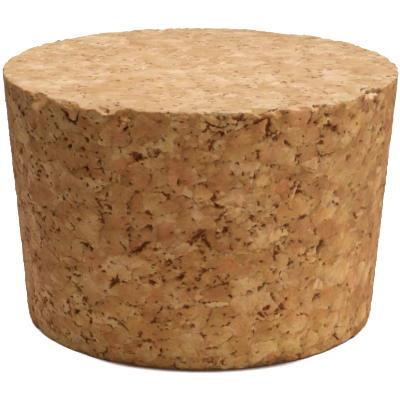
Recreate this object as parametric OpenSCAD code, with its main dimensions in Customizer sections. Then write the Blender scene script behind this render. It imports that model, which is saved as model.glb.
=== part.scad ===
// Tapered stopper of ground and pressed cork granules, cut flat at both ends.
// It stands on its narrow end: the origin is the centre of that end, +Z runs up the axis.
// Angles count from the front (-Y), positive towards +X.

/* [Stopper] */
// Diameter of the wide upper end
top_d = 58.5; // [46:0.5:80]
// Diameter of the narrow lower end
bottom_d = 52.5; // [40:0.5:74]
// Length between the two cut ends
height = 38; // [24:0.5:60]
// Radius of the worn edge at the wide end
top_round = 0.25; // [0.1:0.05:1]
// Radius of the sanded edge at the narrow end
bottom_round = 0.6; // [0.2:0.1:2]

/* [Granules] */
// Mean width of the cork granules, which voids and chips are in proportion to
granule = 3; // [1.5:0.25:4.5]
// Depth of the open voids left between granules
void_depth = 1.1; // [0.4:0.1:2]
// Depth of the small pits in the wall
pit_depth = 0.6; // [0.3:0.1:1.5]
// Number of small pits spread over the wall
pit_count = 80; // [0:10:150]
// Depth of the pits in the two cut ends
end_pit_depth = 0.5; // [0.2:0.1:1.5]
// Number of pits spread over the narrow end
end_pit_count = 12; // [0:1:30]

/* [Hidden] */
$fn = 144;

even_turn = 271.76;                 // degrees between one spread pit in the wall and the next
even_rise = 0.5698;                 // share of the height between one spread pit and the next
golden_turn = 137.508;              // degrees between one pit in the narrow end and the next
stray_by = 0.05;                    // how far a spread pit strays from its even place
void_corners = 5;                   // corners of a void's outline, or one more
pit_corners = 4;                    // corners of a pit's outline
edge_steps = 4;                     // straight steps in a rounded edge
clear = 1;                          // how far a cutter runs out past the surface
edge_strip = 0.07;                  // share of the height kept free of spread pits at each edge
taper = atan((top_d - bottom_d) / 2 / height);

// Voids in the wall: angle, share of the height, length and width in granules, turn from level
wall_voids = [
    [-64, 0.74, 0.35, 0.25, 0], [-57, 0.15, 0.55, 0.20, -70], [-54, 0.51, 0.40, 0.20, 30],
    [-46, 0.49, 0.30, 0.20, 60], [-41, 0.28, 0.50, 0.20, 50], [-41, 0.17, 0.35, 0.25, 20],
    [-38, 0.08, 0.50, 0.20, -15], [-38, 0.94, 0.90, 0.42, 5], [-35, 0.46, 0.50, 0.20, -30],
    [-33, 0.75, 0.35, 0.18, -35], [-30, 0.62, 0.40, 0.14, -30], [-26, 0.33, 0.42, 0.26, 40],
    [-24, 0.15, 0.70, 0.16, -30], [-22, 0.47, 0.50, 0.14, -45], [-18, 0.84, 0.46, 0.34, 20],
    [-18, 0.49, 0.50, 0.28, 40], [-15, 0.55, 0.50, 0.25, 20], [-6, 0.39, 0.60, 0.22, 15],
    [0, 0.54, 0.36, 0.32, 45], [3, 0.95, 0.90, 0.16, -8], [4, 0.66, 0.65, 0.15, -35],
    [6, 0.89, 0.35, 0.20, -10], [9, 0.30, 0.30, 0.20, -40], [10, 0.07, 0.32, 0.22, 20],
    [15, 0.77, 0.65, 0.15, 75], [17, 0.93, 0.75, 0.20, 88], [19, 0.21, 0.50, 0.13, -35],
    [20, 0.80, 0.35, 0.14, -10], [22, 0.46, 0.45, 0.14, -70], [22, 0.37, 0.25, 0.15, 0],
    [28, 0.69, 0.60, 0.15, 70], [36, 0.80, 0.35, 0.15, -20], [38, 0.46, 0.50, 0.25, 75],
    [41, 0.65, 0.30, 0.18, 70], [51, 0.82, 0.25, 0.20, 0], [52, 0.53, 0.50, 0.16, -60],
    [65, 0.83, 0.45, 0.25, -10], [67, 0.77, 0.35, 0.20, 0], [84, 0.42, 0.50, 0.24, 35],
    [97, 0.70, 0.45, 0.20, -25], [109, 0.22, 0.60, 0.18, 65], [121, 0.58, 0.40, 0.30, 10],
    [136, 0.84, 0.70, 0.18, -15], [143, 0.35, 0.45, 0.25, 50], [158, 0.62, 0.55, 0.20, -40],
    [170, 0.18, 0.35, 0.28, 0], [183, 0.78, 0.50, 0.26, 30], [196, 0.44, 0.65, 0.16, 80],
    [207, 0.88, 0.40, 0.22, -20], [214, 0.27, 0.50, 0.22, 15], [229, 0.66, 0.45, 0.26, -50],
    [241, 0.12, 0.60, 0.18, 25], [252, 0.50, 0.40, 0.24, 60], [266, 0.82, 0.55, 0.20, -10],
    [277, 0.33, 0.45, 0.22, 40], [286, 0.60, 0.50, 0.16, -65]
];
// Voids in the wide end: angle, share of the radius, length and width in granules, turn
end_voids = [
    [124, 0.78, 0.30, 0.18, 90], [147, 0.20, 0.28, 0.20, 10], [-143, 0.65, 0.25, 0.20, 60],
    [-133, 0.63, 0.28, 0.15, 0], [-108, 0.61, 0.26, 0.15, 80], [180, 0.17, 0.30, 0.20, -30],
    [100, 0.23, 0.35, 0.13, 85], [51, 0.35, 0.30, 0.13, 80], [72, 0.61, 0.25, 0.16, 90],
    [-39, 0.50, 0.35, 0.16, 60], [-87, 0.79, 0.35, 0.16, 70], [26, 0.88, 0.28, 0.13, 85],
    [-112, 0.29, 0.25, 0.13, 70], [-52, 0.46, 0.25, 0.14, 90], [-48, 0.86, 0.26, 0.18, 20]
];
// Chips in the rim: angle, width, reach across the end and drop down the wall in granules
rim_chips = [
    [-52, 1.2, 0.75, 0.50], [-35, 0.9, 0.45, 0.30], [-26, 1.1, 0.30, 0.45], [-19, 0.9, 0.65, 0.35],
    [-4, 0.7, 0.20, 0.22], [15, 1.0, 0.32, 0.45], [21, 0.9, 0.70, 0.35], [32, 1.4, 0.40, 0.30],
    [43, 0.8, 0.22, 0.30], [54, 2.2, 0.80, 0.50], [78, 0.9, 0.40, 0.32], [99, 1.1, 0.45, 0.30],
    [118, 1.7, 0.40, 0.35], [133, 0.8, 0.25, 0.28], [154, 4.4, 0.95, 0.65], [175, 1.3, 0.50, 0.35],
    [193, 0.9, 0.22, 0.25], [206, 1.0, 0.30, 0.35], [219, 1.0, 0.42, 0.35], [231, 0.9, 0.30, 0.28],
    [255, 1.3, 0.50, 0.40], [275, 0.8, 0.30, 0.28], [291, 1.0, 0.35, 0.30]
];
// Nicks in the lower edge, in the same order
foot_chips = [
    [-66, 0.6, 0.20, 0.25], [-30, 0.5, 0.18, 0.20], [26, 0.9, 0.25, 0.40], [49, 0.7, 0.22, 0.28],
    [92, 0.8, 0.25, 0.30], [147, 0.6, 0.20, 0.22], [201, 0.9, 0.25, 0.35], [248, 0.6, 0.20, 0.22]
];

function part_of(v) = v - floor(v);
function stray(i, k) = part_of(sin(i * 73.1 + k * 31.7) * 4375.85);
function wall_r(z) = (bottom_d + (top_d - bottom_d) * z / height) / 2;
function wall_gap(a, b) = abs(((a - b + 540) % 360) - 180);

// Corner of radius r whose sides turn from direction a0 to a1, as straight steps
function corner(x, z, r, a0, a1) =
    let (mid = (a0 + a1) / 2, out = r / cos((a1 - a0) / 2))
    [for (i = [0 : edge_steps]) let (a = a0 + (a1 - a0) * i / edge_steps)
        [x - out * cos(mid) + r * cos(a), z - out * sin(mid) + r * sin(a)]];

// Ragged outline with n corners, whose radius wanders with the seed k
function ragged(n, long, wide, k) =
    [for (i = [0 : n - 1]) let (a = 360 * i / n, g = 0.72 + 0.5 * part_of((i + 1) * (k + 1.7) * 0.6180))
        [long / 2 * g * cos(a), wide / 2 * g * sin(a)]];

// A spread pit is left out where it would run into a void
function is_free(a, s) =
    len([for (v = wall_voids)
        if (wall_gap(a, v[0]) * PI / 180 * wall_r(height * s) < 0.62 * granule
            && abs(s - v[1]) * height < 0.62 * granule) 1]) == 0;

// Length and width in granules, and turn, of spread pit i
function pit_form(i) = [0.22 + 0.25 * stray(i, 3), 0.14 + 0.10 * stray(i, 4), 180 * stray(i, 5)];

wall_pits = [for (i = [1 : 1 : pit_count])
    let (a = 360 * part_of(i * even_turn / 360 + stray_by * (stray(i, 1) - 0.5)),
         s = edge_strip + (1 - 2 * edge_strip) * part_of(i * even_rise + stray_by * (stray(i, 2) - 0.5)))
    if (is_free(a, s)) concat([a, s], pit_form(i))];

end_pits = [for (i = [1 : 1 : end_pit_count])
    concat([i * golden_turn, 0.93 * sqrt((i - 0.5) / end_pit_count)], pit_form(i))];

module plug() {
    rotate_extrude()
        polygon(concat(
            [[0, 0]],
            corner(bottom_d / 2, 0, bottom_round, -90, -taper),
            corner(top_d / 2, height, top_round, -taper, 90),
            [[0, height]]));
}

// Cutter for a void, square to the wall
module wall_cut(v, depth, corners, k) {
    z = height * v[1];
    rotate([0, 0, v[0]])
        translate([0, -wall_r(z), z])
            rotate([90 + taper, 0, 0])
                rotate([0, 0, v[4]])
                    translate([0, 0, -depth])
                        linear_extrude(height = depth + clear)
                            polygon(ragged(corners, v[2] * granule, v[3] * granule, k));
}

// Cutter for a void in an end, going up from its floor at z = 0
module end_cut(v, radius, corners, k) {
    rotate([0, 0, v[0]])
        translate([0, -radius * v[1], 0])
            rotate([0, 0, v[4] - v[0]])
                linear_extrude(height = end_pit_depth + clear)
                    polygon(ragged(corners, v[2] * granule, v[3] * granule, k));
}

// Cutter for a chip. Its valley slopes from the end, at the reach, to the wall, at the drop,
// and ragged flanks rise from it to the rim on both sides.
module chip_cut(c, radius, k) {
    wide = c[1] * granule;
    reach = c[2] * granule;
    drop = c[3] * granule;
    slope = atan(drop / reach);
    deep = reach * drop / norm([reach, drop]);      // from the valley straight out to the rim
    lean = 0.3 * stray(k, 6) - 0.15;                // puts the valley off the middle
    flank_1 = 0.25 + 0.35 * stray(k, 7);
    flank_2 = 0.25 + 0.35 * stray(k, 8);
    far = 3;                                        // times the depth that the cutter goes out to
    rotate([0, 0, c[0]])
        translate([0, -radius + reach, 0])
            rotate([slope, 0, 0])
                rotate([90, 0, 0])
                    linear_extrude(height = 4 * (reach + drop), center = true)
                        polygon([
                            [lean * wide, 0], [0.30 * wide, flank_1 * deep], [0.5 * wide, deep],
                            [0.5 * far * wide, far * deep], [-0.5 * far * wide, far * deep],
                            [-0.5 * wide, deep], [-0.30 * wide, flank_2 * deep]]);
}

module cork_stopper() {
    color([0.80, 0.62, 0.42])
        difference() {
            plug();
            for (i = [0 : 1 : len(wall_voids) - 1])
                wall_cut(wall_voids[i], void_depth, void_corners + i % 2, i);
            for (i = [0 : 1 : len(wall_pits) - 1])
                wall_cut(wall_pits[i], pit_depth, pit_corners, i);
            for (i = [0 : 1 : len(rim_chips) - 1])
                translate([0, 0, height])
                    chip_cut(rim_chips[i], top_d / 2, i);
            for (i = [0 : 1 : len(foot_chips) - 1])
                mirror([0, 0, 1])
                    chip_cut(foot_chips[i], bottom_d / 2, i);
            for (i = [0 : 1 : len(end_voids) - 1])
                translate([0, 0, height - end_pit_depth])
                    end_cut(end_voids[i], top_d / 2, pit_corners, i);
            for (i = [0 : 1 : len(end_pits) - 1])
                translate([0, 0, -clear])
                    end_cut(end_pits[i], bottom_d / 2, pit_corners, i);
        }
}

cork_stopper();
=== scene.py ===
import bpy
import numpy as np
from math import radians, sin, cos
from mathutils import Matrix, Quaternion, Vector


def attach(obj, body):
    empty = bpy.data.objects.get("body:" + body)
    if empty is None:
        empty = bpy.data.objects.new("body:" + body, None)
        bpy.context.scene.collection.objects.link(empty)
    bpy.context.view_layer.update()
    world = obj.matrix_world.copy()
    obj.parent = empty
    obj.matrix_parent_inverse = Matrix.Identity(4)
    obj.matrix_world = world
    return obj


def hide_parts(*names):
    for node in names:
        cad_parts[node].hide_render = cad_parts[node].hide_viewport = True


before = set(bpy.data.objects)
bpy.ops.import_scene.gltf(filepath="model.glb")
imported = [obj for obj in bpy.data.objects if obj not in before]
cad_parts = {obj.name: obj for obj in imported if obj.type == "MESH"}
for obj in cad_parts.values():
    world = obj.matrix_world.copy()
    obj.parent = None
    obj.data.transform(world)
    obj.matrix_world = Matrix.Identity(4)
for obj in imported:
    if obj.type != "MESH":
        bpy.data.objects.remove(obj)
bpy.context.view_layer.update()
scene = bpy.context.scene
mm = 0.001

# the stopper: what a user would change, in metres and degrees unless a note says otherwise
stopper = {
    "topRound": 0.25 * mm,       # radius of the edge at the wide end
    "footRound": 0.6 * mm,       # and at the narrow end
    "granule": 3.0 * mm,         # mean granule, the unit of the voids and chips below
    "gridTurns": 1500,           # grid points around
    "gridStep": 0.105 * mm,      # grid step up the wall
    "endSteps": 0.62,            # rings of an end, as a share of those that the wall's step would give
    "endCrowd": 1.6,             # how much the rings crowd towards the rim
    "rimBand": 4.0 * mm,         # band at each edge over which the sinking direction swings
    "voidDepth": 0.40 * mm,      # depth of a wide void
    "voidSteep": 0.8,            # most depth of a narrow one, as a share of its width
    "voidRise": 0.50,            # share of a void's radius over which it deepens
    "accentRise": 0.12,          # share of the radius over which a granule that stands out takes its colour
    "accentProud": 0.05 * mm,    # how much prouder a paler one lies, and how much deeper a darker one
    "endRelief": 0.30,           # how much of the relief the sanded ends keep
    "edgeLoss": 0.18 * mm,       # most that a loose granule has lost at the wide end's edge
    "footLoss": 0.20 * mm,       # and at the narrow end's
    "lossBand": 1.5 * mm,        # how far from an edge granules have been lost
    "looseFrom": 0.55,           # how loose a granule is before it loses anything
    "looseOver": 0.35,           # and how much looser when it has lost the most
    "calm": 0.32,                # how much calmer the wall is on its right than elsewhere
    "calmTurns": (18, 38, 70, 90),  # where that calm starts, is full, starts to fade and ends
    "triangles": 190000,         # what the finished mesh is thinned to
}
# where the paler colour of the ends begins: partly their sanded finish, partly painted light, the paling that
# light from above and a grazing sheen give the top
paleEnds = {
    "topFrom": 62,               # slope of the rounded edge from which it belongs to the wide end
    "footFrom": 75,              # and to the narrow end
    "fadeFrom": 15,              # slope of the upper edge from which it starts to pale
    "fadeOver": 50,              # and over which it becomes as pale as the end
    "chipMost": 0.15 * mm,       # a chip that is deeper shows broken cork instead
    "chipLeast": 0.03 * mm,      # one that is shallower isn't noticed
    "lossLeast": 0.05 * mm,      # nor is a smaller loss
    "facingFrom": 0.52,          # how far a broken face looks up or down before it pales
    "facingOver": 0.36,          # and over which it becomes as pale as the end
}

# voids: angle from the front, share of the wall's height (above 1: on the wide end), length and width in
# granules, and turn
wallVoids = [
    (-64, 0.74, 0.35, 0.25, 0), (-57.5, 0.15, 0.55, 0.24, -70), (-56, 0.525, 0.50, 0.16, 10),
    (-53, 0.51, 0.40, 0.22, 40), (-52, 0.555, 0.40, 0.14, 5), (-46, 0.485, 0.34, 0.22, 60),
    (-43, 0.34, 0.40, 0.16, 0), (-40, 0.28, 0.60, 0.18, -35), (-41, 0.175, 0.40, 0.25, 25),
    (-38, 0.07, 0.65, 0.22, -15), (-38.5, 0.83, 0.40, 0.22, 10), (-34, 0.83, 0.28, 0.18, -20),
    (-39.4, 0.953, 0.50, 0.34, -50), (-37.4, 0.932, 0.75, 0.20, -8), (-35.2, 0.953, 0.50, 0.20, 70),
    (-35.5, 0.46, 0.60, 0.34, -10), (-33.7, 0.447, 0.45, 0.22, -60), (-33, 0.755, 0.40, 0.24, -35),
    (-32, 0.73, 0.30, 0.14, -70), (-29.5, 0.63, 0.45, 0.14, -50), (-29, 0.57, 0.35, 0.14, 0),
    (-29, 0.795, 0.35, 0.16, 20), (-26.4, 0.325, 0.70, 0.38, 25), (-25.2, 0.337, 0.60, 0.16, 80),
    (-24, 0.155, 0.70, 0.16, -35), (-28, 0.88, 0.40, 0.14, -50), (-22.5, 0.48, 0.55, 0.14, -45),
    (-18, 0.835, 0.85, 0.50, -12), (-20.5, 0.93, 0.45, 0.18, 30), (-17, 0.475, 0.85, 0.26, 35),
    (-15, 0.555, 0.65, 0.32, 20), (-14, 0.345, 0.40, 0.18, -30), (-11.7, 0.075, 0.30, 0.18, 80),
    (-15, 0.08, 0.25, 0.16, 90), (-6, 0.375, 0.70, 0.30, 15), (-6, 0.74, 0.40, 0.12, 80),
    (-0.2, 0.535, 0.70, 0.52, 20), (1.6, 0.505, 0.70, 0.26, -50), (3.2, 0.96, 1.30, 0.15, -4),
    (4.5, 0.66, 0.65, 0.16, -35), (5.5, 0.925, 0.35, 0.18, -30), (7, 0.555, 0.50, 0.22, 60),
    (9, 0.295, 0.34, 0.22, -40), (14.5, 0.305, 0.36, 0.26, 0), (10, 0.06, 0.36, 0.24, 20),
    (15, 0.76, 0.75, 0.16, 80), (18.2, 0.95, 0.95, 0.24, 86), (16, 0.972, 0.95, 0.26, 2),
    (20.3, 1.01, 0.70, 0.16, 15), (58.5, 1.05, 1.50, 0.22, 4), (58, 1.01, 1.50, 0.50, 0),
    (10.4, 0.985, 0.80, 0.36, 5), (18.5, 0.215, 0.50, 0.15, -40), (20, 0.795, 0.38, 0.16, -12),
    (24, 0.87, 0.55, 0.18, -50), (22, 0.455, 0.45, 0.14, -70), (21.8, 0.375, 0.26, 0.18, 0),
    (22.5, 0.27, 0.60, 0.11, -55), (28, 0.69, 0.70, 0.17, 75), (36, 0.805, 0.65, 0.22, -15),
    (37.2, 0.915, 0.55, 0.28, -20), (39.6, 0.893, 0.62, 0.34, -35), (32.6, 0.935, 0.36, 0.18, -30),
    (36.2, 0.962, 0.30, 0.22, 0), (45.3, 0.94, 0.50, 0.16, -55), (46.6, 0.932, 0.40, 0.16, 40),
    (57, 0.965, 0.40, 0.26, 60), (59, 0.945, 0.46, 0.28, 30), (57.5, 0.855, 0.50, 0.26, 85),
    (57.3, 0.81, 0.42, 0.22, 80), (57, 0.775, 0.55, 0.18, 20), (46, 0.775, 0.40, 0.22, 40),
    (54, 0.74, 0.46, 0.20, 60), (38, 0.45, 0.70, 0.48, 75), (32, 0.425, 0.30, 0.14, 10),
    (37, 0.24, 0.60, 0.20, 50), (42, 0.65, 0.36, 0.26, 70), (48, 0.665, 0.30, 0.16, -40),
    (51, 0.82, 0.28, 0.22, 0), (52.5, 0.53, 0.55, 0.20, -60), (57, 0.62, 0.40, 0.18, 0),
    (48, 0.045, 0.60, 0.24, -25), (43, 0.11, 0.32, 0.18, 20), (63, 0.925, 0.50, 0.16, 0),
    (65, 0.83, 0.50, 0.28, -10), (67, 0.77, 0.35, 0.20, 0), (84, 0.42, 0.50, 0.24, 35),
    (97, 0.70, 0.45, 0.20, -25), (109, 0.22, 0.60, 0.18, 65), (121, 0.58, 0.40, 0.30, 10),
    (136, 0.84, 0.70, 0.18, -15), (143, 0.35, 0.45, 0.25, 50), (158, 0.62, 0.55, 0.20, -40),
    (170, 0.18, 0.35, 0.28, 0), (183, 0.78, 0.50, 0.26, 30), (196, 0.44, 0.65, 0.16, 80),
    (207, 0.88, 0.40, 0.22, -20), (214, 0.27, 0.50, 0.22, 15), (229, 0.66, 0.45, 0.26, -50),
    (241, 0.12, 0.60, 0.18, 25), (252, 0.50, 0.40, 0.24, 60), (266, 0.82, 0.55, 0.20, -10),
    (277, 0.33, 0.45, 0.22, 40), (286, 0.60, 0.50, 0.16, -65),
]
# chips in the rim: angle, width, reach across the end and drop down the wall in granules
rimChips = [
    (-51, 1.5, 0.38, 1.00), (-38, 1.6, 0.20, 0.45), (-31, 1.5, 0.80, 0.20), (-25.5, 1.3, 1.20, 0.40),
    (-20.2, 0.6, 0.40, 1.20), (-3, 1.2, 0.14, 0.25), (16.4, 1.15, 0.60, 0.36), (21, 0.6, 0.30, 0.40),
    (28, 1.4, 0.25, 0.16), (33, 0.6, 0.22, 0.40), (40, 1.8, 0.22, 0.14), (55.5, 1.7, 0.36, 0.42),
    (78, 0.9, 0.14, 0.10), (99, 1.6, 0.16, 0.10), (118, 1.7, 0.24, 0.10), (133, 0.8, 0.16, 0.12),
    (154, 3.4, 0.50, 0.14), (175, 1.3, 0.26, 0.10), (193, 0.9, 0.20, 0.12), (206, 1.8, 0.22, 0.08),
    (223, 1.4, 0.18, 0.08), (255, 1.3, 0.26, 0.12), (275, 1.6, 0.18, 0.08), (291, 1.0, 0.18, 0.08),
]
# nicks in the lower edge, in the same order
footChips = [
    (-66, 0.6, 0.20, 0.25), (-30, 0.5, 0.18, 0.20), (26, 0.9, 0.25, 0.40), (49, 0.7, 0.22, 0.28),
    (92, 0.8, 0.25, 0.30), (147, 0.6, 0.20, 0.22), (201, 0.9, 0.25, 0.35), (248, 0.6, 0.20, 0.22),
]
# granules that stand out: angle, share of the height, length and width in granules, turn, how much paler
# (below zero: darker) and how much redder (below zero: yellower)
accents = [
    (16.4, 1.02, 1.25, 1.05, 0, -1.00, -0.50), (15.9, 0.945, 0.70, 0.50, 0, -0.60, 0.3),
    (5.2, 0.868, 0.60, 0.50, 0, 0.05, 0.1), (-37.4, 0.955, 0.40, 0.30, 0, 0.20, 0.2),
    (-21, 0.79, 1.20, 1.00, 10, -0.20, 0.9), (-16, 0.92, 0.50, 0.35, 0, 0.20, 0.9),
    (-8.5, 0.865, 1.10, 0.85, 0, 0.35, -0.3), (18, 0.745, 1.10, 0.95, 0, 0.30, 0.2),
    (18.7, 0.52, 1.10, 0.95, 0, 0.95, 0.35), (14, 0.28, 1.60, 0.60, 5, 0.45, 0.0),
    (-4, 0.07, 1.00, 0.80, -15, 0.40, -0.4), (9, 0.68, 1.60, 0.60, 0, 0.40, 0.0),
    (8, 0.41, 1.30, 0.75, 10, -0.60, 0.7), (4.5, 0.505, 1.00, 0.75, -20, -0.70, 0.1),
    (-23, 0.58, 0.90, 0.80, 0, -0.10, 0.7), (-13, 0.30, 0.90, 0.70, 30, -0.20, 0.7),
    (23, 0.70, 1.00, 0.50, 0, -0.15, 0.8), (-30, 0.455, 1.40, 0.90, -30, 0.30, 0.2),
    (-14, 0.53, 0.95, 0.70, 20, -0.30, 0.1), (28, 0.08, 1.60, 0.80, 10, 0.35, -0.3),
    (32, 0.90, 1.20, 0.70, 0, -0.25, 0.3), (46, 0.55, 1.20, 0.90, 30, 0.25, -0.4),
    (36, 0.745, 1.00, 0.60, -10, 0.30, 0.1), (38, 0.155, 1.80, 0.80, -10, 0.25, 0.0),
    (6, 0.065, 1.20, 0.50, 0, 0.35, -0.3), (-50, 0.265, 1.20, 0.75, -20, 0.25, -0.1),
    (-51, 0.37, 1.50, 1.00, 0, -0.30, -0.1), (29.5, 0.34, 1.60, 1.15, 10, 0.10, 0.1),
    (25.5, 0.285, 1.20, 0.70, -15, 0.0, 0.2), (31, 0.25, 1.30, 0.80, 5, 0.15, 0.0),
    (47, 0.42, 1.90, 1.15, 0, 0.15, -0.2), (57, 0.30, 1.70, 1.25, 0, 0.15, 0.0),
    (55, 0.13, 1.70, 0.90, -10, 0.20, 0.1), (37, 0.575, 1.30, 0.85, 0, 0.05, 0.1),
    (38, 0.855, 1.10, 0.80, 10, 0.10, 0.0), (40.5, 0.968, 1.05, 0.75, 0, -0.80, 0.1),
    (30.5, 0.52, 1.10, 0.80, 0, -0.10, 0.2), (18, 0.375, 1.30, 0.80, 0, 0.05, 0.1),
    (57, 0.72, 1.80, 1.10, 0, 0.10, 0.0), (-12, 0.93, 1.40, 0.60, -5, -0.05, 0.5),
    (-6.5, 0.80, 1.00, 0.90, -20, -0.15, 0.7), (-24, 0.90, 1.20, 0.70, 10, -0.20, 0.4),
    (-31, 0.84, 1.10, 0.80, 15, -0.10, 0.4), (-17, 0.72, 1.20, 0.60, -15, 0.15, 0.3),
    (-40, 0.78, 1.50, 0.90, 0, -0.15, 0.4), (5.5, 0.79, 1.10, 0.80, 0, 0.05, 0.3),
    (10.5, 0.90, 1.00, 0.60, 5, 0.25, 0.4),
]


# Node helpers: each puts one node into a tree and gives back its output. A value is a number or another
# node's output, and plug sets or links it.
def plug(tree, socket, value):
    if hasattr(value, "is_output"):
        tree.links.new(value, socket)
    elif value is not None:
        socket.default_value = value


def calc(tree, how, a, b=None, clamp=False):
    n = tree.nodes.new("ShaderNodeMath")
    n.operation, n.use_clamp = how, clamp
    for socket, value in zip(n.inputs, (a, b)):
        plug(tree, socket, value)
    return n.outputs[0]


def add(tree, a, b, clamp=False):
    return calc(tree, "ADD", a, b, clamp)


def sub(tree, a, b):
    return calc(tree, "SUBTRACT", a, b)


def mul(tree, a, b):
    return calc(tree, "MULTIPLY", a, b)


def calcVec(tree, how, a, b=None, scale=None):
    n = tree.nodes.new("ShaderNodeVectorMath")
    n.operation = how
    plug(tree, n.inputs[0], a)
    plug(tree, n.inputs[1], b)
    if scale is not None:
        plug(tree, n.inputs["Scale"], scale)
    return n.outputs["Value" if how == "DOT_PRODUCT" else "Vector"]


# From toLow at "low" to toHigh at "high", and level outside them
def ramp(tree, value, low, high, toLow=0.0, toHigh=1.0, smooth=True):
    n = tree.nodes.new("ShaderNodeMapRange")
    n.interpolation_type = "SMOOTHSTEP" if smooth else "LINEAR"
    n.clamp = True
    names = ("Value", "From Min", "From Max", "To Min", "To Max")
    for name, v in zip(names, (value, low, high, toLow, toHigh)):
        plug(tree, n.inputs[name], v)
    return n.outputs["Result"]


# a where the share is 0, b where it is 1
def blend(tree, share, a, b):
    return add(tree, mul(tree, sub(tree, b, a), share), a)


def blendColour(tree, share, a, b, how="MIX"):
    n = tree.nodes.new("ShaderNodeMix")
    n.data_type, n.blend_type = "RGBA", how
    plug(tree, n.inputs[0], share)
    plug(tree, n.inputs[6], a)
    plug(tree, n.inputs[7], b)
    return n.outputs[2]


# size of a noise's waves, its detail, its roughness and a shift, which keeps the noises from lining up
noises = {
    "slow": (1.6 * mm, 2, 0.5, None),                        # long and short wander of the borders
    "quick": (0.5 * mm, 2, 0.6, None),
    "crisp": (4.0 * mm, 1, 0.5, (0.07, 0.02, 0.06)),         # where granules stand out sharply
    "crumbly": (2.4 * mm, 2, 0.6, (0.11, 0.07, 0.03)),       # where the cork is crumbly
    "strokes": (0.88 * mm, 2, 0.55, (0.02, 0.09, 0.05)),     # breaks
    "crumbStrokes": (0.45 * mm, 1, 0.5, (0.05, 0.06, 0.01)),  # breaks between the crumbs in a void
    "open": (2.0 * mm, 1, 0.5, (0.08, 0.03, 0.12)),          # where the joints between granules show
    "flake": (0.85 * mm, 2, 0.5, (0.03, 0.04, 0.09)),        # unevenness within a granule
    "blotch": (2.4 * mm, 2, 0.5, (0.05, 0.01, 0.08)),        # soft changes of colour
    "broad": (6.0 * mm, 1, 0.5, (0.01, 0.05, 0.02)),
    "grit": (0.45 * mm, 3, 0.6, None),                       # fine grain
}


def noise(tree, point, name):
    size, detail, rough, shift = noises[name]
    n = tree.nodes.new("ShaderNodeTexNoise")
    n.noise_dimensions = "3D"
    if shift is not None:
        point = calcVec(tree, "ADD", point, shift)
    plug(tree, n.inputs["Vector"], point)
    n.inputs["Scale"].default_value = 1 / size
    n.inputs["Detail"].default_value = detail
    n.inputs["Roughness"].default_value = rough
    return n


def cells(tree, point, size, feature="F1"):
    n = tree.nodes.new("ShaderNodeTexVoronoi")
    n.feature = feature
    plug(tree, n.inputs["Vector"], point)
    n.inputs["Scale"].default_value = 1 / size
    n.inputs["Randomness"].default_value = 1.0
    return n


def parts(tree, colour):
    n = tree.nodes.new("ShaderNodeSeparateXYZ")
    plug(tree, n.inputs[0], colour)
    return n.outputs


# A node group with named inputs, (label, kind, start value), and named outputs, (label, kind)
def newTree(name, kind, inputs, outputs):
    tree = bpy.data.node_groups.new(name, kind)
    for label, socketKind, start in inputs:
        s = tree.interface.new_socket(label, in_out="INPUT", socket_type=socketKind)
        if start is not None:
            s.default_value = start
    for label, socketKind in outputs:
        tree.interface.new_socket(label, in_out="OUTPUT", socket_type=socketKind)
    return tree, tree.nodes.new("NodeGroupInput").outputs, tree.nodes.new("NodeGroupOutput").inputs


# The granules: one recipe, used by the materials and by the relief alike.
grain = {
    "big": 3.6 * mm,         # large granules
    "mid": 1.7 * mm,         # broken ones, where a large one has fallen apart
    "fine": 0.85 * mm,       # crumbs, and the net of breaks in crumbly places
    "flat": 1.35,            # how much flatter than wide the granules are
    "ragged": 0.36 * mm,     # how far borders wander
    "wander": (2.6, 1.1),    # the long and the short wander, as shares of that
    "broken": 0.42,          # share of large granules that are broken into middling ones
    "midTone": (0.30, 0.65),  # how much of its tone comes from the middling ones: whole granule, broken one
    "midHue": 0.5,           # and of a broken one's hue
    "lean": 1.6,             # brings the place in a granule to about -0.5 to 0.5
    "crispWhere": (0.42, 0.62),   # heights of their noise between which granules become crisp
    "crumblyWhere": (0.40, 0.60),  # and the cork crumbly
    "jointsWhere": (0.46, 0.62),  # and its joints visible
    "level": (0.629, 0.517),  # level that a stroke has to pass to be a break: firm place, crumbly place
    "levelRise": 0.72,       # how much it rises with each millimetre from a border
    "levelVoid": 0.40,       # the level in a void
    "levelWhole": 0.5,       # how much higher it is in a granule that stays whole
    "crackSoft": 0.034,      # how far a stroke passes the level where a break is fully dark
    "halo": (-0.06, 0.01),   # the same for where the slope beside a break begins and ends
    "lip": (-0.11, -0.05),   # and for where its raised lip begins and is highest
    "joint": (0.02, 0.17),   # millimetres from a border over which a joint fades
    "belt": (0.10, 0.60),    # and over which the crumbs along it do
    "strokeBend": 0.6 * mm,  # how far the strokes wander with the borders
    "lost": 0.012,           # share of crumbs in crumbly places that have fallen out
    "speck": 0.86,           # crumbs whose random share is higher are pale specks
    "meshDeep": 0.20 * mm,   # depth of a break in the mesh
    "bumpDeep": 0.22 * mm,   # and what the material adds to it
}
# the relief besides the breaks: shares of a break's depth, then lengths
reliefParts = {
    "lost": 1.6,             # where a crumb has fallen out
    "halo": 0.15,            # slope beside a break
    "seam": 0.12,            # joint between granules
    "own": 0.07 * mm,        # from the proudest to the deepest granule
    "tipped": 0.13 * mm,     # slant of a granule
    "uneven": 0.16 * mm,     # unevenness within it
    "speck": 0.06 * mm,      # how proud a pale crumb stands
    "lip": 0.035 * mm,       # and the raised lip beside a break
}


# Where a point lies in its own granule, along a direction that is the granule's own: about -0.5 to 0.5
def lean(tree, here, cell, size):
    away = calcVec(tree, "SUBTRACT", here, cell.outputs["Position"])
    own = calcVec(tree, "SUBTRACT", cell.outputs["Color"], (0.5, 0.5, 0.5))
    return mul(tree, calcVec(tree, "DOT_PRODUCT", away, own), grain["lean"] / size)


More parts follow.
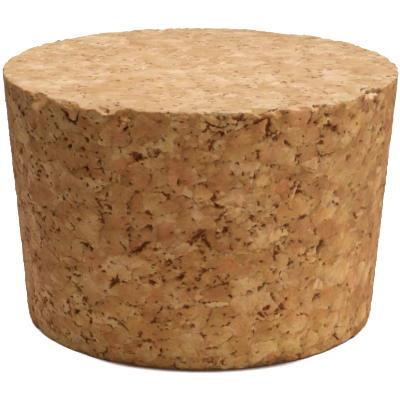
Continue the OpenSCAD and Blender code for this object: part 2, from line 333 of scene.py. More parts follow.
# Large granules come from one cell pattern, and a share of them is broken up by a second, finer one. Breaks
# are short strokes of a noise, wherever it rises above a level that is low at a granule's border and high
# inside it, so they hug the borders. They crowd in crumbly places, where they follow the borders of the
# crumbs too. "hollow" is above zero in a void, where the level is low all over, and below zero in a granule
# that stays whole, where it is high.
def granuleNodes(tree, point, hollow):
    g = grain
    slow, quick = (
        calcVec(tree, "SUBTRACT", noise(tree, point, k).outputs["Color"], (0.5, 0.5, 0.5))
        for k in ("slow", "quick"))
    here = calcVec(tree, "ADD", point, calcVec(tree, "SCALE", slow, scale=g["wander"][0] * g["ragged"]))
    here = calcVec(tree, "ADD", here, calcVec(tree, "SCALE", quick, scale=g["wander"][1] * g["ragged"]))
    here = calcVec(tree, "MULTIPLY", here, (1, 1, g["flat"]))
    sizes = ("big", "mid", "fine")
    bigCell, midCell, fineCell = (cells(tree, here, g[k]) for k in sizes)
    bigRandom, midRandom, fineRandom = (
        parts(tree, c.outputs["Color"]) for c in (bigCell, midCell, fineCell))
    bigEdge, midEdge, fineEdge = (                   # millimetres to the border
        mul(tree, cells(tree, here, g[k], "DISTANCE_TO_EDGE").outputs["Distance"], g[k] / mm)
        for k in sizes)

    # the granule that the point is in
    broken = calc(tree, "LESS_THAN", bigRandom[0], g["broken"])
    edge = blend(tree, broken, bigEdge, calc(tree, "MINIMUM", bigEdge, midEdge))
    tilt = blend(tree, broken, lean(tree, here, bigCell, g["big"]), lean(tree, here, midCell, g["mid"]))
    crisp = ramp(tree, noise(tree, point, "crisp").outputs[0], *g["crispWhere"], 0.15, 0.9)
    midShare = ramp(tree, broken, 0, 1, *g["midTone"], False)
    tone = blend(tree, midShare, bigRandom[1], midRandom[1])
    hue = blend(tree, mul(tree, broken, g["midHue"]), bigRandom[2], midRandom[2])
    mixed = add(tree, mul(tree, tone, 7.3), mul(tree, hue, 3.1))
    loose = calc(tree, "FRACT", mixed)               # a third random share, drawn from the other two

    # the breaks
    crumbly = ramp(tree, noise(tree, point, "crumbly").outputs[0], *g["crumblyWhere"])
    strokePoint = calcVec(tree, "ADD", point, calcVec(tree, "SCALE", quick, scale=g["strokeBend"]))
    strokePoint = calcVec(tree, "MULTIPLY", strokePoint, (1, 1, g["flat"]))
    strokes = noise(tree, strokePoint, "strokes").outputs[0]
    near = calc(tree, "MINIMUM", edge, add(tree, fineEdge, 0.10))
    need = ramp(tree, crumbly, 0, 1, *g["level"], False)
    need = add(tree, need, mul(tree, near, g["levelRise"]))
    inVoid = ramp(tree, hollow, 0.0, 0.9)
    crumbStrokes = noise(tree, strokePoint, "crumbStrokes").outputs[0]
    strokes = blend(tree, mul(tree, inVoid, 0.6), strokes, crumbStrokes)
    need = blend(tree, inVoid, need, g["levelVoid"])
    whole = ramp(tree, hollow, -0.2, -0.8)
    crumbly = mul(tree, crumbly, sub(tree, 1.0, whole))
    need = add(tree, need, mul(tree, whole, g["levelWhole"]))
    tone, edge = blend(tree, whole, tone, 0.5), blend(tree, whole, edge, 1.0)
    over = sub(tree, strokes, need)
    crack = ramp(tree, over, 0.0, g["crackSoft"])
    halo = ramp(tree, over, *g["halo"])
    lip = mul(tree, ramp(tree, over, *g["lip"]), ramp(tree, over, g["lip"][1], 0.0, 1.0, 0.0))

    # crumbs that have fallen out, joints, and the crumbs that show in the belt along a border
    fallen = calc(tree, "LESS_THAN", fineRandom[0], g["lost"])
    lost = mul(tree, fallen, ramp(tree, fineEdge, 0.03, 0.12))
    lost = mul(tree, lost, crumbly)
    jointsShow = ramp(tree, noise(tree, point, "open").outputs[0], *g["jointsWhere"])
    seam = mul(tree, ramp(tree, edge, *g["joint"], 1.0, 0.0), jointsShow)
    belt = mul(tree, ramp(tree, edge, *g["belt"], 1.0, 0.0), crumbly)
    crumbTone = mul(tree, sub(tree, fineRandom[1], 0.5), belt)
    speck = mul(tree, calc(tree, "GREATER_THAN", fineRandom[0], g["speck"]), belt)
    speck = mul(tree, speck, ramp(tree, fineEdge, 0.02, 0.12))
    flake = noise(tree, calcVec(tree, "MULTIPLY", point, (1, 1, 1.4)), "flake").outputs[0]
    return {
        "lip": lip, "void": inVoid, "tone": tone, "hue": hue, "tilt": tilt, "crumbTone": crumbTone,
        "speck": speck, "lost": lost, "crack": crack, "crisp": crisp, "halo": halo, "seam": seam,
        "loose": loose, "flake": flake,
    }


# The relief in metres, inwards positive: lost crumbs are the deepest, then breaks, then joints. Each granule
# lies a little deeper or prouder than its neighbours, tips a little and is uneven itself, and pale crumbs and
# the lips of breaks stand proud.
def reliefNodes(tree, g, crackDeep):
    p = reliefParts
    deep = calc(tree, "MAXIMUM", mul(tree, g["lost"], p["lost"]), g["crack"])
    deep = add(tree, deep, mul(tree, g["halo"], p["halo"]))
    deep = add(tree, deep, mul(tree, g["seam"], p["seam"]))
    deep = mul(tree, deep, crackDeep)
    own = mul(tree, sub(tree, g["hue"], 0.5), g["crisp"])
    own = mul(tree, own, p["own"])
    tipped = mul(tree, g["tilt"], p["tipped"])
    uneven = mul(tree, sub(tree, g["flake"], 0.5), p["uneven"])
    total = add(tree, add(tree, deep, own), add(tree, uneven, tipped))
    speck, lip = (mul(tree, g[k], p[k]) for k in ("speck", "lip"))
    return sub(tree, total, add(tree, speck, lip))


# The frustum's two radii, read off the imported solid: the widest points of two bands of its wall lie on one
# straight line, and that line is drawn on to the foot and to the top
def readFrustum(node):
    co = np.empty(len(node.data.vertices) * 3, np.float32)
    node.data.vertices.foreach_get("co", co)
    co = co.reshape(-1, 3).astype(float)
    tall = co[:, 2].max()
    far = np.hypot(co[:, 0], co[:, 1])
    roughSlope = 0.079                               # brings each band down to one height, to compare
    zs, rs = [], []
    for low, high in ((0.05, 0.30), (0.70, 0.95)):
        band = (co[:, 2] > low * tall) & (co[:, 2] < high * tall)
        line = far[band] - co[band, 2] * roughSlope
        pick = np.argmax(line)
        zs.append(co[band, 2][pick])
        rs.append(far[band][pick])
    slope = (rs[1] - rs[0]) / (zs[1] - zs[0])
    return rs[0] - slope * zs[0], rs[0] + slope * (tall - zs[0]), tall


# Meridian from the middle of the foot, round its edge, up the wall, over the rim and in to the middle of the
# top. Each point has its place (r, z), the outward normal's angle and its distance along the line, and the
# last two results are the distances of the two edges. An edge is an arc that touches both of its sides.
def meridian(footR, topR, tall):
    s = stopper
    taper = np.arctan2(topR - footR, tall)
    step = s["gridStep"]

    def arc(x, z, r, a0, a1, n):
        mid, out = (a0 + a1) / 2, r / cos((a1 - a0) / 2)
        a = np.linspace(a0, a1, n)
        return x - out * cos(mid) + r * np.cos(a), z - out * sin(mid) + r * np.sin(a), a

    def disc(edgeR):                                 # rings that crowd towards the rim
        u = np.linspace(0, 1, int(edgeR / step * s["endSteps"]))
        return edgeR * (1 - (1 - u) ** s["endCrowd"])

    footArc = arc(footR, 0, s["footRound"], -radians(90), -taper, 11)
    topArc = arc(topR, tall, s["topRound"], -taper, radians(90), 7)
    under = disc(footArc[0][0])[1:-1]
    over = disc(topArc[0][-1])[1:-1][::-1]
    k = np.linspace(0, 1, int((tall - s["footRound"] - s["topRound"]) / step))[1:-1]
    r0, z0, r1, z1 = footArc[0][-1], footArc[1][-1], topArc[0][0], topArc[1][0]
    pieces = [
        (under, np.zeros_like(under), np.full_like(under, -radians(90))),
        footArc,
        (r0 + (r1 - r0) * k, z0 + (z1 - z0) * k, np.full_like(k, -taper)),
        topArc,
        (over, np.full_like(over, tall), np.full_like(over, radians(90))),
    ]
    r, z, a = (np.concatenate([p[i] for p in pieces]) for i in range(3))
    along = np.concatenate([[0], np.cumsum(np.hypot(np.diff(r), np.diff(z)))])
    footAt, topAt = (along[np.argmin(np.hypot(r - edgeR, z - h))] for edgeR, h in ((footR, 0), (topR, tall)))
    return r, z, a, along, footAt, topAt


# Direction in which a point sinks, as the angle of the line outwards: its own normal's, swung smoothly to the
# edge's bisector over a band at each edge
def sinkAngle(angle, along, footAt, topAt, taper):
    band = stopper["rimBand"]
    out = angle.copy()
    for at, edgeAngle in ((footAt, -(radians(90) + taper) / 2), (topAt, (radians(90) - taper) / 2)):
        gapTo = np.clip(np.abs(along - at) / band, 0, 1)
        share = 1 - gapTo * gapTo * (3 - 2 * gapTo)
        out = out + (edgeAngle - out) * share
    return out


# Corners of a void's outline, evenly round, with radii from 0.72 to 1.22 that follow the golden ratio
def ragged(n, k):
    i = np.arange(n)
    g = 0.72 + 0.5 * (((i + 1) * (k + 1.7) * 0.6180) % 1)
    a = 2 * np.pi * i / n
    return g * np.cos(a), g * np.sin(a)


# How far inside a void each point lies, from 0 at its outline up to 1 at its middle: the ragged outline is a
# star polygon with three waves on it, so the share of its radius in the point's own direction gives it
def voidShare(u, v, long, wide, turn, n, k):
    ct, st = cos(radians(turn)), sin(radians(turn))
    x, y = (u * ct + v * st) / (long / 2), (-u * st + v * ct) / (wide / 2)
    px, py = ragged(n, k)
    a = np.arctan2(y, x) % (2 * np.pi)
    seg = np.minimum((a / (2 * np.pi / n)).astype(int), n - 1)
    ax, ay, bx, by = px[seg], py[seg], px[(seg + 1) % n], py[(seg + 1) % n]
    cross = np.cos(a) * (by - ay) - np.sin(a) * (bx - ax)
    reach = (ax * by - ay * bx) / np.where(np.abs(cross) < 1e-9, 1e-9, cross)
    waves = 0.22 * np.sin(3 * a + 5 * k), 0.20 * np.sin(7 * a + 2 * k), 0.16 * np.sin(13 * a + k)
    reach = reach * (1 + waves[0] + waves[1] + waves[2])
    return np.clip(1 - np.hypot(x, y) / np.maximum(reach, 1e-6), 0, 1)


# A fixed share from 0 to 1 that looks random: the fraction of a large multiple of a sine
def stray(i, k):
    v = np.sin(np.radians(i * 73.1 + k * 31.7)) * 4375.85
    return v - np.floor(v)


# Depth of a chip along each point's sinking line. The chip's surface is a sloping valley: its lowest line is
# off the middle, and its flanks reach the shares "left" and "right" of its depth before they rise.
def chipDepth(across, out, up, outDir, upDir, chip, k):
    g = stopper["granule"]
    wide, reach, drop = chip[1] * g, chip[2] * g, chip[3] * g
    long = np.hypot(reach, drop)
    nOut, nUp = drop / long, reach / long            # normal of the valley, out and up
    deep = reach * drop / long
    lowest, right, left = 0.4 * stray(k, 6) - 0.2, 0.1 + 0.45 * stray(k, 7), 0.1 + 0.45 * stray(k, 8)
    place = across / wide + 0.06 * np.sin(9 * up / g + k) + 0.05 * np.sin(17 * out / g + 3 * k)
    floor = np.interp(place, [-1.5, -0.5, -0.36, lowest, 0.36, 0.5, 1.5],
                      [3 * deep, deep, left * deep, 0, right * deep, deep, 3 * deep])
    above = (out + reach) * nOut + up * nUp - floor
    toward = outDir * nOut + upDir * nUp
    flattest = 0.3                                   # a line at a flatter slant to the valley isn't cut
    return np.where(toward > flattest, np.clip(above / np.maximum(toward, flattest), 0, None), 0)


# The stopper's grid: the meridian carried round, cut back by the chips, with the fields that the grain and
# the colours read at each point. A field runs from 0 at a void's or granule's outline to 1 further in.
def makeGrid(name):
    s, ends, g = stopper, paleEnds, stopper["granule"]
    footR, topR, tall = readFrustum(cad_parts["cork_stopper"])
    print(f"frustum: foot {footR / mm:.2f}, top {topR / mm:.2f}, height {tall / mm:.2f} mm")
    taper = np.arctan2(topR - footR, tall)
    r, z, angle, along, footAt, topAt = meridian(footR, topR, tall)
    sink = sinkAngle(angle, along, footAt, topAt, taper)
    nu, nv = s["gridTurns"], len(r)
    turn = np.linspace(-np.pi, np.pi, nu, endpoint=False)

    # chips, at every point near a rim
    depth = np.zeros((nv, nu))
    outDir, upDir = np.cos(sink)[:, None], np.sin(sink)[:, None]
    for chips, edgeR, edgeZ, flip in ((rimChips, topR, tall, 1), (footChips, footR, 0, -1)):
        for k, chip in enumerate(chips):
            across = ((turn - radians(chip[0]) + np.pi) % (2 * np.pi) - np.pi)[None, :] * edgeR
            near = np.abs(across[0]) < chip[1] * g
            rows = np.hypot(r - edgeR, z - edgeZ) < 2.5 * g
            block = np.ix_(rows, near)
            outTo = (r[rows][:, None] - edgeR) + 0 * across[:, near]
            upTo = flip * (z[rows][:, None] - edgeZ) + 0 * across[:, near]
            side = across[:, near] + 0 * outTo
            cut = chipDepth(side, outTo, upTo, outDir[rows], flip * upDir[rows], chip, k)
            depth[block] = np.maximum(depth[block], cut)
    rr = r[:, None] - depth * outDir
    zz = z[:, None] - depth * upDir

    # voids and accents. "hollow" is above zero in a void and below zero where the cork is calmer or whole
    sunk, paler, redder = (np.zeros((nv, nu)) for _ in range(3))
    calm = s["calm"] * np.interp(np.degrees(turn), s["calmTurns"], (0, 1, 1, 0))
    onWall = (angle > -radians(30)) & (angle < radians(30))
    hollow = -calm[None, :] * onWall[:, None]

    def patch(place, k, rise):
        a, share, long, wide, tilt = place
        off = (turn - radians(a) + np.pi) % (2 * np.pi) - np.pi
        near = np.abs(off) * footR < long * g
        fromIt = along - footAt - share * (topAt - footAt)
        rows = (np.abs(fromIt) < long * g) & (r > 0.7 * footR)
        v = fromIt[rows][:, None] + 0 * off[None, near]
        u = off[None, near] * r[rows][:, None] + 0.10 * g * wide * np.sin(5 * v / g + 2 * k)
        v = v + 0.10 * g * long * np.sin(4 * u / g + k)
        inside = voidShare(u, v, long * g, wide * g, tilt, 9 + k % 3, k)
        return np.ix_(rows, near), np.clip(inside / rise, 0, 1)

    for k, spot in enumerate(wallVoids):
        block, inside = patch(spot, k, s["voidRise"])
        hollow[block] = np.where(inside > 0, np.maximum(hollow[block], inside), hollow[block])
        most = min(s["voidDepth"], s["voidSteep"] * spot[3] * g)
        sunk[block] = np.maximum(sunk[block], inside ** 0.5 * most)
    for k, spot in enumerate(accents):
        block, inside = patch(spot[:5], k, s["accentRise"])
        paler[block] = np.where(inside > 0, inside * spot[5], paler[block])
        redder[block] = np.where(inside > 0, inside * spot[6], redder[block])
        whole = (inside > 0) & (inside > hollow[block])
        hollow[block] = np.where(whole, np.minimum(hollow[block], -inside), hollow[block])
        sunk[block] -= s["accentProud"] * inside * np.sign(spot[5])

    # what loose granules may lose at each edge, most at the edge itself
    loss = np.zeros(nv)
    for at, most in ((topAt, s["edgeLoss"]), (footAt, s["footLoss"])):
        loss += most * np.clip(1 - np.abs(along - at) / s["lossBand"], 0, 1)
    loss = loss[:, None] + 0 * turn

    # places, sinking directions and the finish, then one more point at each pole
    sn, cs = np.sin(turn)[None, :], np.cos(turn)[None, :]
    co = np.stack([rr * sn, -rr * cs, zz + 0 * sn], -1).reshape(-1, 3)
    inward = np.stack([-outDir * sn, outDir * cs, -upDir + 0 * sn], -1).reshape(-1, 3)
    flatPart = (angle > radians(ends["topFrom"])) | (angle < -radians(ends["footFrom"]))
    isEnd = flatPart[:, None] & (depth < ends["chipMost"])
    level = np.clip((angle - radians(ends["fadeFrom"])) / radians(ends["fadeOver"]), 0, 1)
    level = level[:, None] * (depth < ends["chipMost"])
    co = np.vstack([co, [[0, 0, 0], [0, 0, tall]]])
    inward = np.vstack([inward, [[0, 0, 1], [0, 0, -1]]])
    hollow, sunk, paler, redder, level, loss = (
        np.append(v.reshape(-1), [0, 0]) for v in (hollow, sunk, paler, redder, level, loss))
    chipped = np.append((depth > ends["chipLeast"]).reshape(-1), [False, False])
    isEnd = np.append(isEnd.reshape(-1), [True, True])

    # faces: a square of each four neighbours, and a fan at each pole
    i, j = np.arange(nv - 1)[:, None] * nu, np.arange(nu)[None, :]
    jn = (j + 1) % nu
    quads = np.stack([i + j, i + jn, i + nu + jn, i + nu + j], -1).reshape(-1, 4)
    j, jn = j[0], jn[0]
    top = (nv - 1) * nu
    foot = np.stack([np.full(nu, nv * nu), jn, j], -1)
    crown = np.stack([np.full(nu, nv * nu + 1), top + j, top + jn], -1)
    loops = np.concatenate([quads.reshape(-1), foot.reshape(-1), crown.reshape(-1)])
    starts = np.concatenate([np.arange(len(quads)) * 4, quads.size + np.arange(2 * nu) * 3])
    mesh = bpy.data.meshes.new(name)
    mesh.vertices.add(len(co))
    mesh.vertices.foreach_set("co", co.astype(np.float32).reshape(-1))
    mesh.loops.add(len(loops))
    mesh.loops.foreach_set("vertex_index", loops.astype(np.int32))
    mesh.polygons.add(len(starts))
    mesh.polygons.foreach_set("loop_start", starts.astype(np.int32))
    mesh.update(calc_edges=True)
    fields = {"hollow": hollow, "paler": paler, "redder": redder}
    return mesh, co, inward, sunk, isEnd, chipped, level, loss, fields, tall


# The relief of each point and how loose its granule is, read from the same nodes that the materials use
def sampleGrain(piece, count):
    tree, ins, outs = newTree("grainSample", "GeometryNodeTree", [("Geometry", "NodeSocketGeometry", None)],
                              [("Geometry", "NodeSocketGeometry")])
    hollow = tree.nodes.new("GeometryNodeInputNamedAttribute")
    hollow.inputs["Name"].default_value = "hollow"
    g = granuleNodes(tree, tree.nodes.new("GeometryNodeInputPosition").outputs[0], hollow.outputs[0])
    geometry = ins["Geometry"]
    for name, value in (("relief", reliefNodes(tree, g, grain["meshDeep"])), ("loose", g["loose"])):
        store = tree.nodes.new("GeometryNodeStoreNamedAttribute")
        store.data_type, store.domain = "FLOAT", "POINT"
        store.inputs["Name"].default_value = name
        plug(tree, store.inputs["Geometry"], geometry)
        plug(tree, store.inputs["Value"], value)
        geometry = store.outputs["Geometry"]
    plug(tree, outs["Geometry"], geometry)
    mod = piece.modifiers.new("sample", "NODES")
    mod.node_group = tree
    evaluated = piece.evaluated_get(bpy.context.evaluated_depsgraph_get()).data
    found = []
    for name in ("relief", "loose"):
        values = np.zeros(count, np.float32)
        evaluated.attributes[name].data.foreach_get("value", values)
        found.append(values.astype(float))
    piece.modifiers.remove(mod)
    bpy.data.node_groups.remove(tree)
    return found


# Stores one number or vector for each point under a name
def addAttribute(mesh, name, kind, field, values):
    a = mesh.attributes.new(name, kind, "POINT")
    a.data.foreach_set(field, np.ascontiguousarray(values, np.float32).reshape(-1))


# The finished stopper: each point of the grid moves inwards by the relief, the voids and what was lost, and
# the mesh is thinned. "cutEnd" is 1 on the ends and rises to 1 on broken faces that look up or down.
def makeStopper():
    s, ends = stopper, paleEnds
    mesh, co, inward, sunk, isEnd, chipped, level, loss, fields, tall = makeGrid("corkBody")
    piece = bpy.data.objects.new("corkBody", mesh)
    scene.collection.objects.link(piece)
    print("grid:", len(co), "points")
    for name, values in fields.items():
        addAttribute(mesh, name, "FLOAT", "value", values)
    relief, loose = sampleGrain(piece, len(co))
    relief = np.where(isEnd, s["endRelief"] * relief, relief)
    lost = loss * np.clip((loose - s["looseFrom"]) / s["looseOver"], 0, 1)
    moved = co + inward * (relief + sunk + lost)[:, None]
    moved[:, 2] = np.clip(moved[:, 2], 0, None)      # nothing reaches below the floor
    mesh.vertices.foreach_set("co", moved.astype(np.float32).reshape(-1))
    mesh.update()

    normal = np.empty(len(co) * 3, np.float32)
    mesh.vertex_normals.foreach_get("vector", normal)
    upright = np.abs(normal.reshape(-1, 3)[:, 2])
    facing = np.clip((upright - ends["facingFrom"]) / ends["facingOver"], 0, 1)
    worn = chipped | (lost > ends["lossLeast"])
    # painted light: broken faces that look up or down pale like the ends, as light from above would pale them
    level = np.maximum(level, worn * facing * facing * (3 - 2 * facing))
    addAttribute(mesh, "grainPoint", "FLOAT_VECTOR", "vector", co)
    addAttribute(mesh, "cutEnd", "FLOAT", "value", np.where(isEnd, 1, level))

    thin = piece.modifiers.new("thin", "DECIMATE")
    thin.ratio = s["triangles"] / (2 * len(mesh.polygons))
    thin.use_collapse_triangulate = True
    done = bpy.data.meshes.new_from_object(piece.evaluated_get(bpy.context.evaluated_depsgraph_get()))
    piece.modifiers.clear()
    piece.data = done
    bpy.data.meshes.remove(mesh)
    done.name = "corkBody"
    done.shade_smooth()
    layFlat(done, splitEnds(done), tall)
    print("stopper:", len(done.polygons), "faces")
    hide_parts("cork_stopper")
    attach(piece, "root")
    return piece


# Gives the faces of the ends, and broken ones that look up or down, the second material: those whose corners
# have a mean "cutEnd" above one half
def splitEnds(mesh):
    corners = np.empty(len(mesh.loops), np.int32)
    mesh.loops.foreach_get("vertex_index", corners)
    cutEnd = np.empty(len(mesh.vertices), np.float32)
    mesh.attributes["cutEnd"].data.foreach_get("value", cutEnd)
    isEnd = cutEnd[corners].reshape(-1, 3).mean(1) > 0.5
    mesh.polygons.foreach_set("material_index", isEnd.astype(np.int32))
    return isEnd


# The texture sheet, square: the wall unrolled in three strips one above the other, beside them the two ends.
# A strip's length is the turn times its mean radius, and an end lies flat as seen from outside.
def layFlat(mesh, isEnd, tall):
    corners = np.empty(len(mesh.loops), np.int32)
    mesh.loops.foreach_get("vertex_index", corners)
    co = np.empty(len(mesh.vertices) * 3, np.float32)
    mesh.attributes["grainPoint"].data.foreach_get("vector", co)
    tri = co.reshape(-1, 3)[corners].reshape(-1, 3, 3).astype(float)
    mid = tri.mean(1)
    gap = 1.2 * mm
    wide = np.hypot(tri[..., 0], tri[..., 1]).max()  # the wide end's radius
    meanShare, footShare = 0.94, 0.9                 # the wall's mean radius and the narrow end's, against it
    strip = 2 * np.pi / 3
    turn = np.arctan2(tri[..., 0], -tri[..., 1])
    midTurn = np.arctan2(mid[:, 0], -mid[:, 1])
    row = np.clip(np.floor((midTurn + np.pi) / strip), 0, 2)
    start = row * strip - np.pi
    turn = (turn - midTurn[:, None] + np.pi) % (2 * np.pi) - np.pi + midTurn[:, None]
    u = gap + (turn - start[:, None]) * wide * meanShare
    v = gap + row[:, None] * (tall + gap) + tri[..., 2]
    high = mid[:, 2] > tall / 2
    endU = gap * 2 + strip * wide * meanShare + wide + tri[..., 0]
    topV = gap + wide + tri[..., 1]
    footV = 2 * gap + 2 * wide + footShare * wide - tri[..., 1]
    u = np.where(isEnd[:, None], endU, u)
    v = np.where(isEnd[:, None], np.where(high[:, None], topV, footV), v)
    side = max(u.max(), v.max()) + gap
    flat = mesh.uv_layers.new(name="OFBake")
    flat.data.foreach_set("uv", (np.stack([u, v], -1) / side).astype(np.float32).reshape(-1))
    print(f"texture sheet: {side / mm:.0f} mm square")


cork = {
    "wall": (0.435, 0.179, 0.0385),      # mean colour of the wall, linear
    "wallReach": 0.52,                   # darkest and palest granules against the mean, as a logarithm
    "wallInside": (0.240, 0.042, 0.0020),  # inside of voids and breaks: darker cork and painted shade
    # the ends' paler colour is partly their sanded finish and partly painted light: the paling that light
    # from above and a grazing sheen give the top
    "end": (0.466, 0.308, 0.167),        # the same three for the ends
    "endReach": 0.30,
    "endInside": (0.190, 0.072, 0.018),
    "blueReach": 0.26,                   # golden to greyish granules, as a logarithm of blue
    "golden": (1.03, 1.01),              # and what red and green take, as every tint below does
    "greyish": (0.97, 0.99),
    "pinkish": (1.06, 0.97, 1, 1),       # soft patches of one kind and the other
    "greenish": (0.95, 1.03, 1, 1),
    "redGranule": (1.10, 0.84, 0.84, 1),
    "yellowGranule": (0.97, 1.14, 0.90, 1),
    "rustAndShade": (0.90, 0.60, 0.34, 1),       # beside breaks and in voids: rust-brown cork and painted shade
    "dull": (0.72, 1.0),                 # roughness of the wall and of an end
    "paleBreak": 0.45,                   # how much of an end's tones a broken face takes that looks up
}
# what makes a place paler, in shares of the step from the darkest to the palest tone
toneShares = {
    # tilt is painted shading: each granule grows paler along its own slant, as light on a tipped granule
    # would make it
    "tilt": 0.32, "blotch": 1.1, "broad": 0.6, "grit": 0.5,      # these four times the finish's "soft"
    "crumbTone": 0.5, "speck": 0.35, "seam": -0.12, "paler": 0.55,
}
# how far the dark marks take the inside's colour and the rust-brown tint: darker cork and painted shade
breakShares = {"crack": 0.95, "void": 0.45}
rustAndShadeShares = {"halo": 0.55, "void": 0.55}
# the two finishes
finishes = {
    "corkWall": {
        "colours": "wall",
        "soft": 1.0,         # share of soft blotches and fine grain
        "granules": 0.80,    # share of the granules' own tones
        "dark": 1.0,         # how dark breaks are
        "tint": 1.0,         # how much granules differ in hue
        "gloss": 0.35,
        "bump": 0.85,        # strength of the bump
    },
    "corkEnd": {"colours": "end", "soft": 0.8, "granules": 0.50, "dark": 0.72, "tint": 0.35, "gloss": 0.10,
                "bump": 0.34},
}


# Darker cork is redder and fuller in colour, paler cork is less so. The three channels of a stop that is d
# lighter than the mean, as a logarithm, follow from that.
def toneStop(mean, d):
    redder = -0.50 * d
    fuller = -0.86 * d
    green = d - 0.3 * redder + 0.1 * fuller
    return [float(c * np.exp(e)) for c, e in zip(mean, (green + redder, green, green - fuller))] + [1.0]


# The darkest, the mean and the palest tone of the wall or of an end
def toneStops(which):
    return [toneStop(cork[which], d * cork[which + "Reach"]) for d in (-1, 0, 1)]


# Shader group: the granules of cork at a point
def grainGroup():
    outs = ["tone", "hue", "tilt", "crumbTone", "speck", "lost", "crack", "halo", "crisp", "seam", "void"]
    tree, ins, results = newTree("corkGrain", "ShaderNodeTree", [
        ("Point", "NodeSocketVector", None), ("Hollow", "NodeSocketFloat", 0.0),
        ("Break depth", "NodeSocketFloat", 0.2 * mm),
    ], [(name, "NodeSocketFloat") for name in outs + ["relief"]])
    g = granuleNodes(tree, ins["Point"], ins["Hollow"])
    for name in outs:
        plug(tree, results[name], g[name])
    plug(tree, results["relief"], reliefNodes(tree, g, ins["Break depth"]))
    return tree


# Shader group: the colour that belongs to the granules. The tone picks between the three stops, then tints
# are multiplied in, and breaks cover the result.
def colourGroup():
    tree, ins, outs = newTree("corkColour", "ShaderNodeTree", [
        ("Point", "NodeSocketVector", None),
        *((label, "NodeSocketFloat", start) for label, start in (
            ("Tone", 0.5), ("Hue", 0.5), ("Crisp", 0.5), ("Redder", 0.0), ("Break", 0.0), ("Tint", 1.0),
            ("RustAndShade", 0.0))),
        *((label, "NodeSocketColor", None) for label in ("Darkest", "Mean", "Palest", "Inside")),
    ], [("Color", "NodeSocketColor")])

    def times(colour, tint, share=None):
        tinted = blendColour(tree, 1.0, colour, tint, "MULTIPLY")
        return tinted if share is None else blendColour(tree, share, colour, tinted)

    lower = blendColour(tree, ramp(tree, ins["Tone"], 0.0, 0.5, smooth=False), ins["Darkest"], ins["Mean"])
    colour = blendColour(tree, ramp(tree, ins["Tone"], 0.5, 1.0, smooth=False), lower, ins["Palest"])
    soft = parts(tree, noise(tree, ins["Point"], "blotch").outputs["Color"])
    greyish = ramp(tree, soft[1], 0.3, 0.7, 0, 0.55, False)
    greyish = add(tree, mul(tree, ins["Hue"], 0.45), greyish)
    blue = float(np.exp(cork["blueReach"]))
    tint = blendColour(tree, greyish, (*cork["golden"], 1 / blue, 1), (*cork["greyish"], blue, 1))
    colour = times(colour, tint, ins["Tint"])
    green = ramp(tree, soft[2], 0.3, 0.7, 0, 1, False)
    colour = times(colour, blendColour(tree, green, cork["pinkish"], cork["greenish"]), ins["Tint"])
    red = mul(tree, ramp(tree, ins["Hue"], 0.80, 0.95, 0.0, 0.7), ins["Crisp"])
    red = mul(tree, red, ins["Tint"])
    red = add(tree, red, ins["Redder"])
    plain = (1, 1, 1, 1)
    for full, tint in ((1, cork["redGranule"]), (-1, cork["yellowGranule"])):
        colour = times(colour, blendColour(tree, ramp(tree, red, 0, full, smooth=False), plain, tint))
    # painted shade: the rust-brown tint beside breaks and in voids, and the dark inside colour over the
    # breaks
    colour = times(colour, cork["rustAndShade"], ins["RustAndShade"])
    plug(tree, outs["Color"], blendColour(tree, ins["Break"], colour, ins["Inside"]))
    return tree


def attribute(tree, name, output="Fac"):
    n = tree.nodes.new("ShaderNodeAttribute")
    n.attribute_name = name
    return n.outputs[output]


